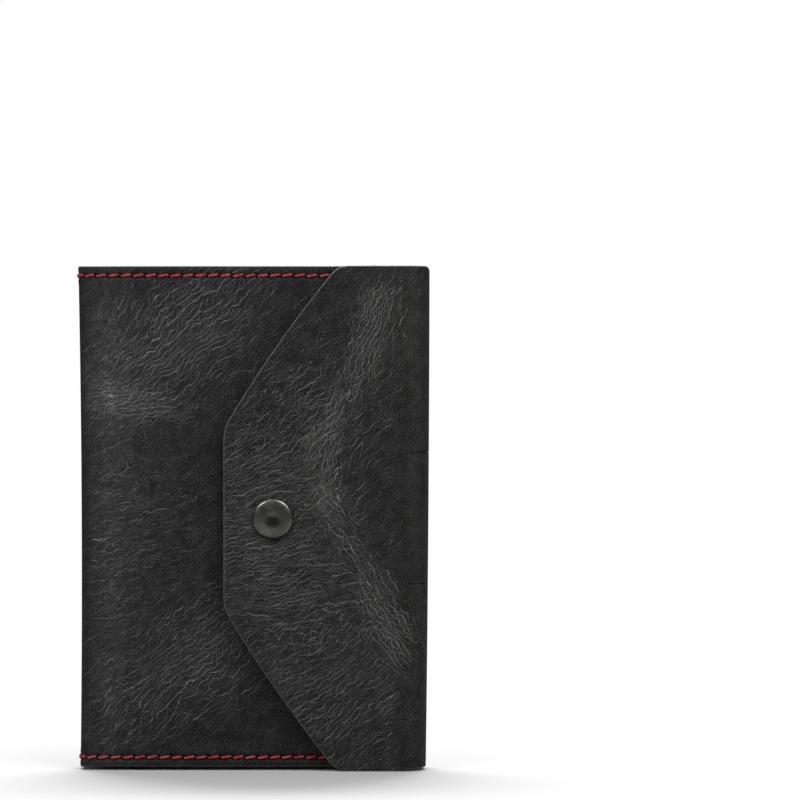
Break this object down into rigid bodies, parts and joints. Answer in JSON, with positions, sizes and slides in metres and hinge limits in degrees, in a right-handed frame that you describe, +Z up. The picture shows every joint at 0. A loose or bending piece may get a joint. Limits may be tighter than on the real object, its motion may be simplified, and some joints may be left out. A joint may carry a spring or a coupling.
{
  "type": "leather notebook cover",
  "caption": "Slip-on leather cover for a pocket notebook, with an envelope flap that closes with a snap and a slit pen strap in the fore edge.",
  "frame": {"origin": "middle of the rectangle round the closed cover's footprint, on the surface that it stands on", "axes": "+Z up along the cover's height, +X from the spine to the fore edge, -Y out of the front (the side with the flap and snap)"},
  "size_m": [0.1104, 0.0204, 0.1592],
  "materials": {
    "leather_black": "waxed black pull-up leather, crackled",
    "leather_flap": "waxed black pull-up leather, dense crackle",
    "suede_inner": "dark flesh-side suede, matte",
    "thread_red": "waxed twisted polyester thread",
    "snap_antique": "antiqued dark, satin",
    "snap_steel": "plated, satin"
  },
  "bodies": {
    "back": {"back_panel": "leather_black", "back_pocket": "suede_inner", "back_top_seam": "thread_red", "back_bottom_seam": "thread_red"},
    "spine": {"spine_panel": "leather_black", "spine_lining": "suede_inner", "spine_top_seam": "thread_red", "spine_bottom_seam": "thread_red"},
    "front": {"front_panel": "leather_black", "front_pocket": "suede_inner", "front_top_seam": "thread_red", "front_bottom_seam": "thread_red", "snap_stud": "snap_steel", "snap_eyelet": "snap_steel"},
    "fore_edge": {"fore_edge_fold": "leather_black"},
    "pen_strap": {"pen_strap": "leather_black"},
    "flap": {"flap": "leather_flap", "snap_cap": "snap_antique", "snap_socket": "snap_steel", "snap_spring": "snap_steel"}
  },
  "joints": [
    {"name": "flap_hinge", "type": "hinge", "parent": "fore_edge", "child": "flap", "pos_m": [0.04818, -0.00833, 0.0796], "axis": [0, 0, 1], "range_deg": [0, 165]},
    {"name": "fore_edge_hinge", "type": "hinge", "parent": "back", "child": "fore_edge", "pos_m": [0.04818, 0.00988, 0.0796], "axis": [0, 0, 1], "range_deg": [0, 175]},
    {"name": "spine_hinge", "type": "hinge", "parent": "back", "child": "spine", "pos_m": [-0.05133, 0.00988, 0.0796], "axis": [0, 0, -1], "range_deg": [0, 20]},
    {"name": "front_hinge", "type": "hinge", "parent": "spine", "child": "front", "pos_m": [-0.05133, -0.00432, 0.0796], "axis": [0, 0, -1], "range_deg": [0, 20]},
    {"name": "pen_strap_push", "type": "slide", "parent": "fore_edge", "child": "pen_strap", "axis": [-1, 0, 0], "range_m": [0, 0.014], "deforming": ["pen_strap"]}
  ],
  "couplings": [
    {"joint": "spine_hinge", "follows": "fore_edge_hinge", "ratio": 0.11429},
    {"joint": "front_hinge", "follows": "fore_edge_hinge", "ratio": 0.11429}
  ]
}
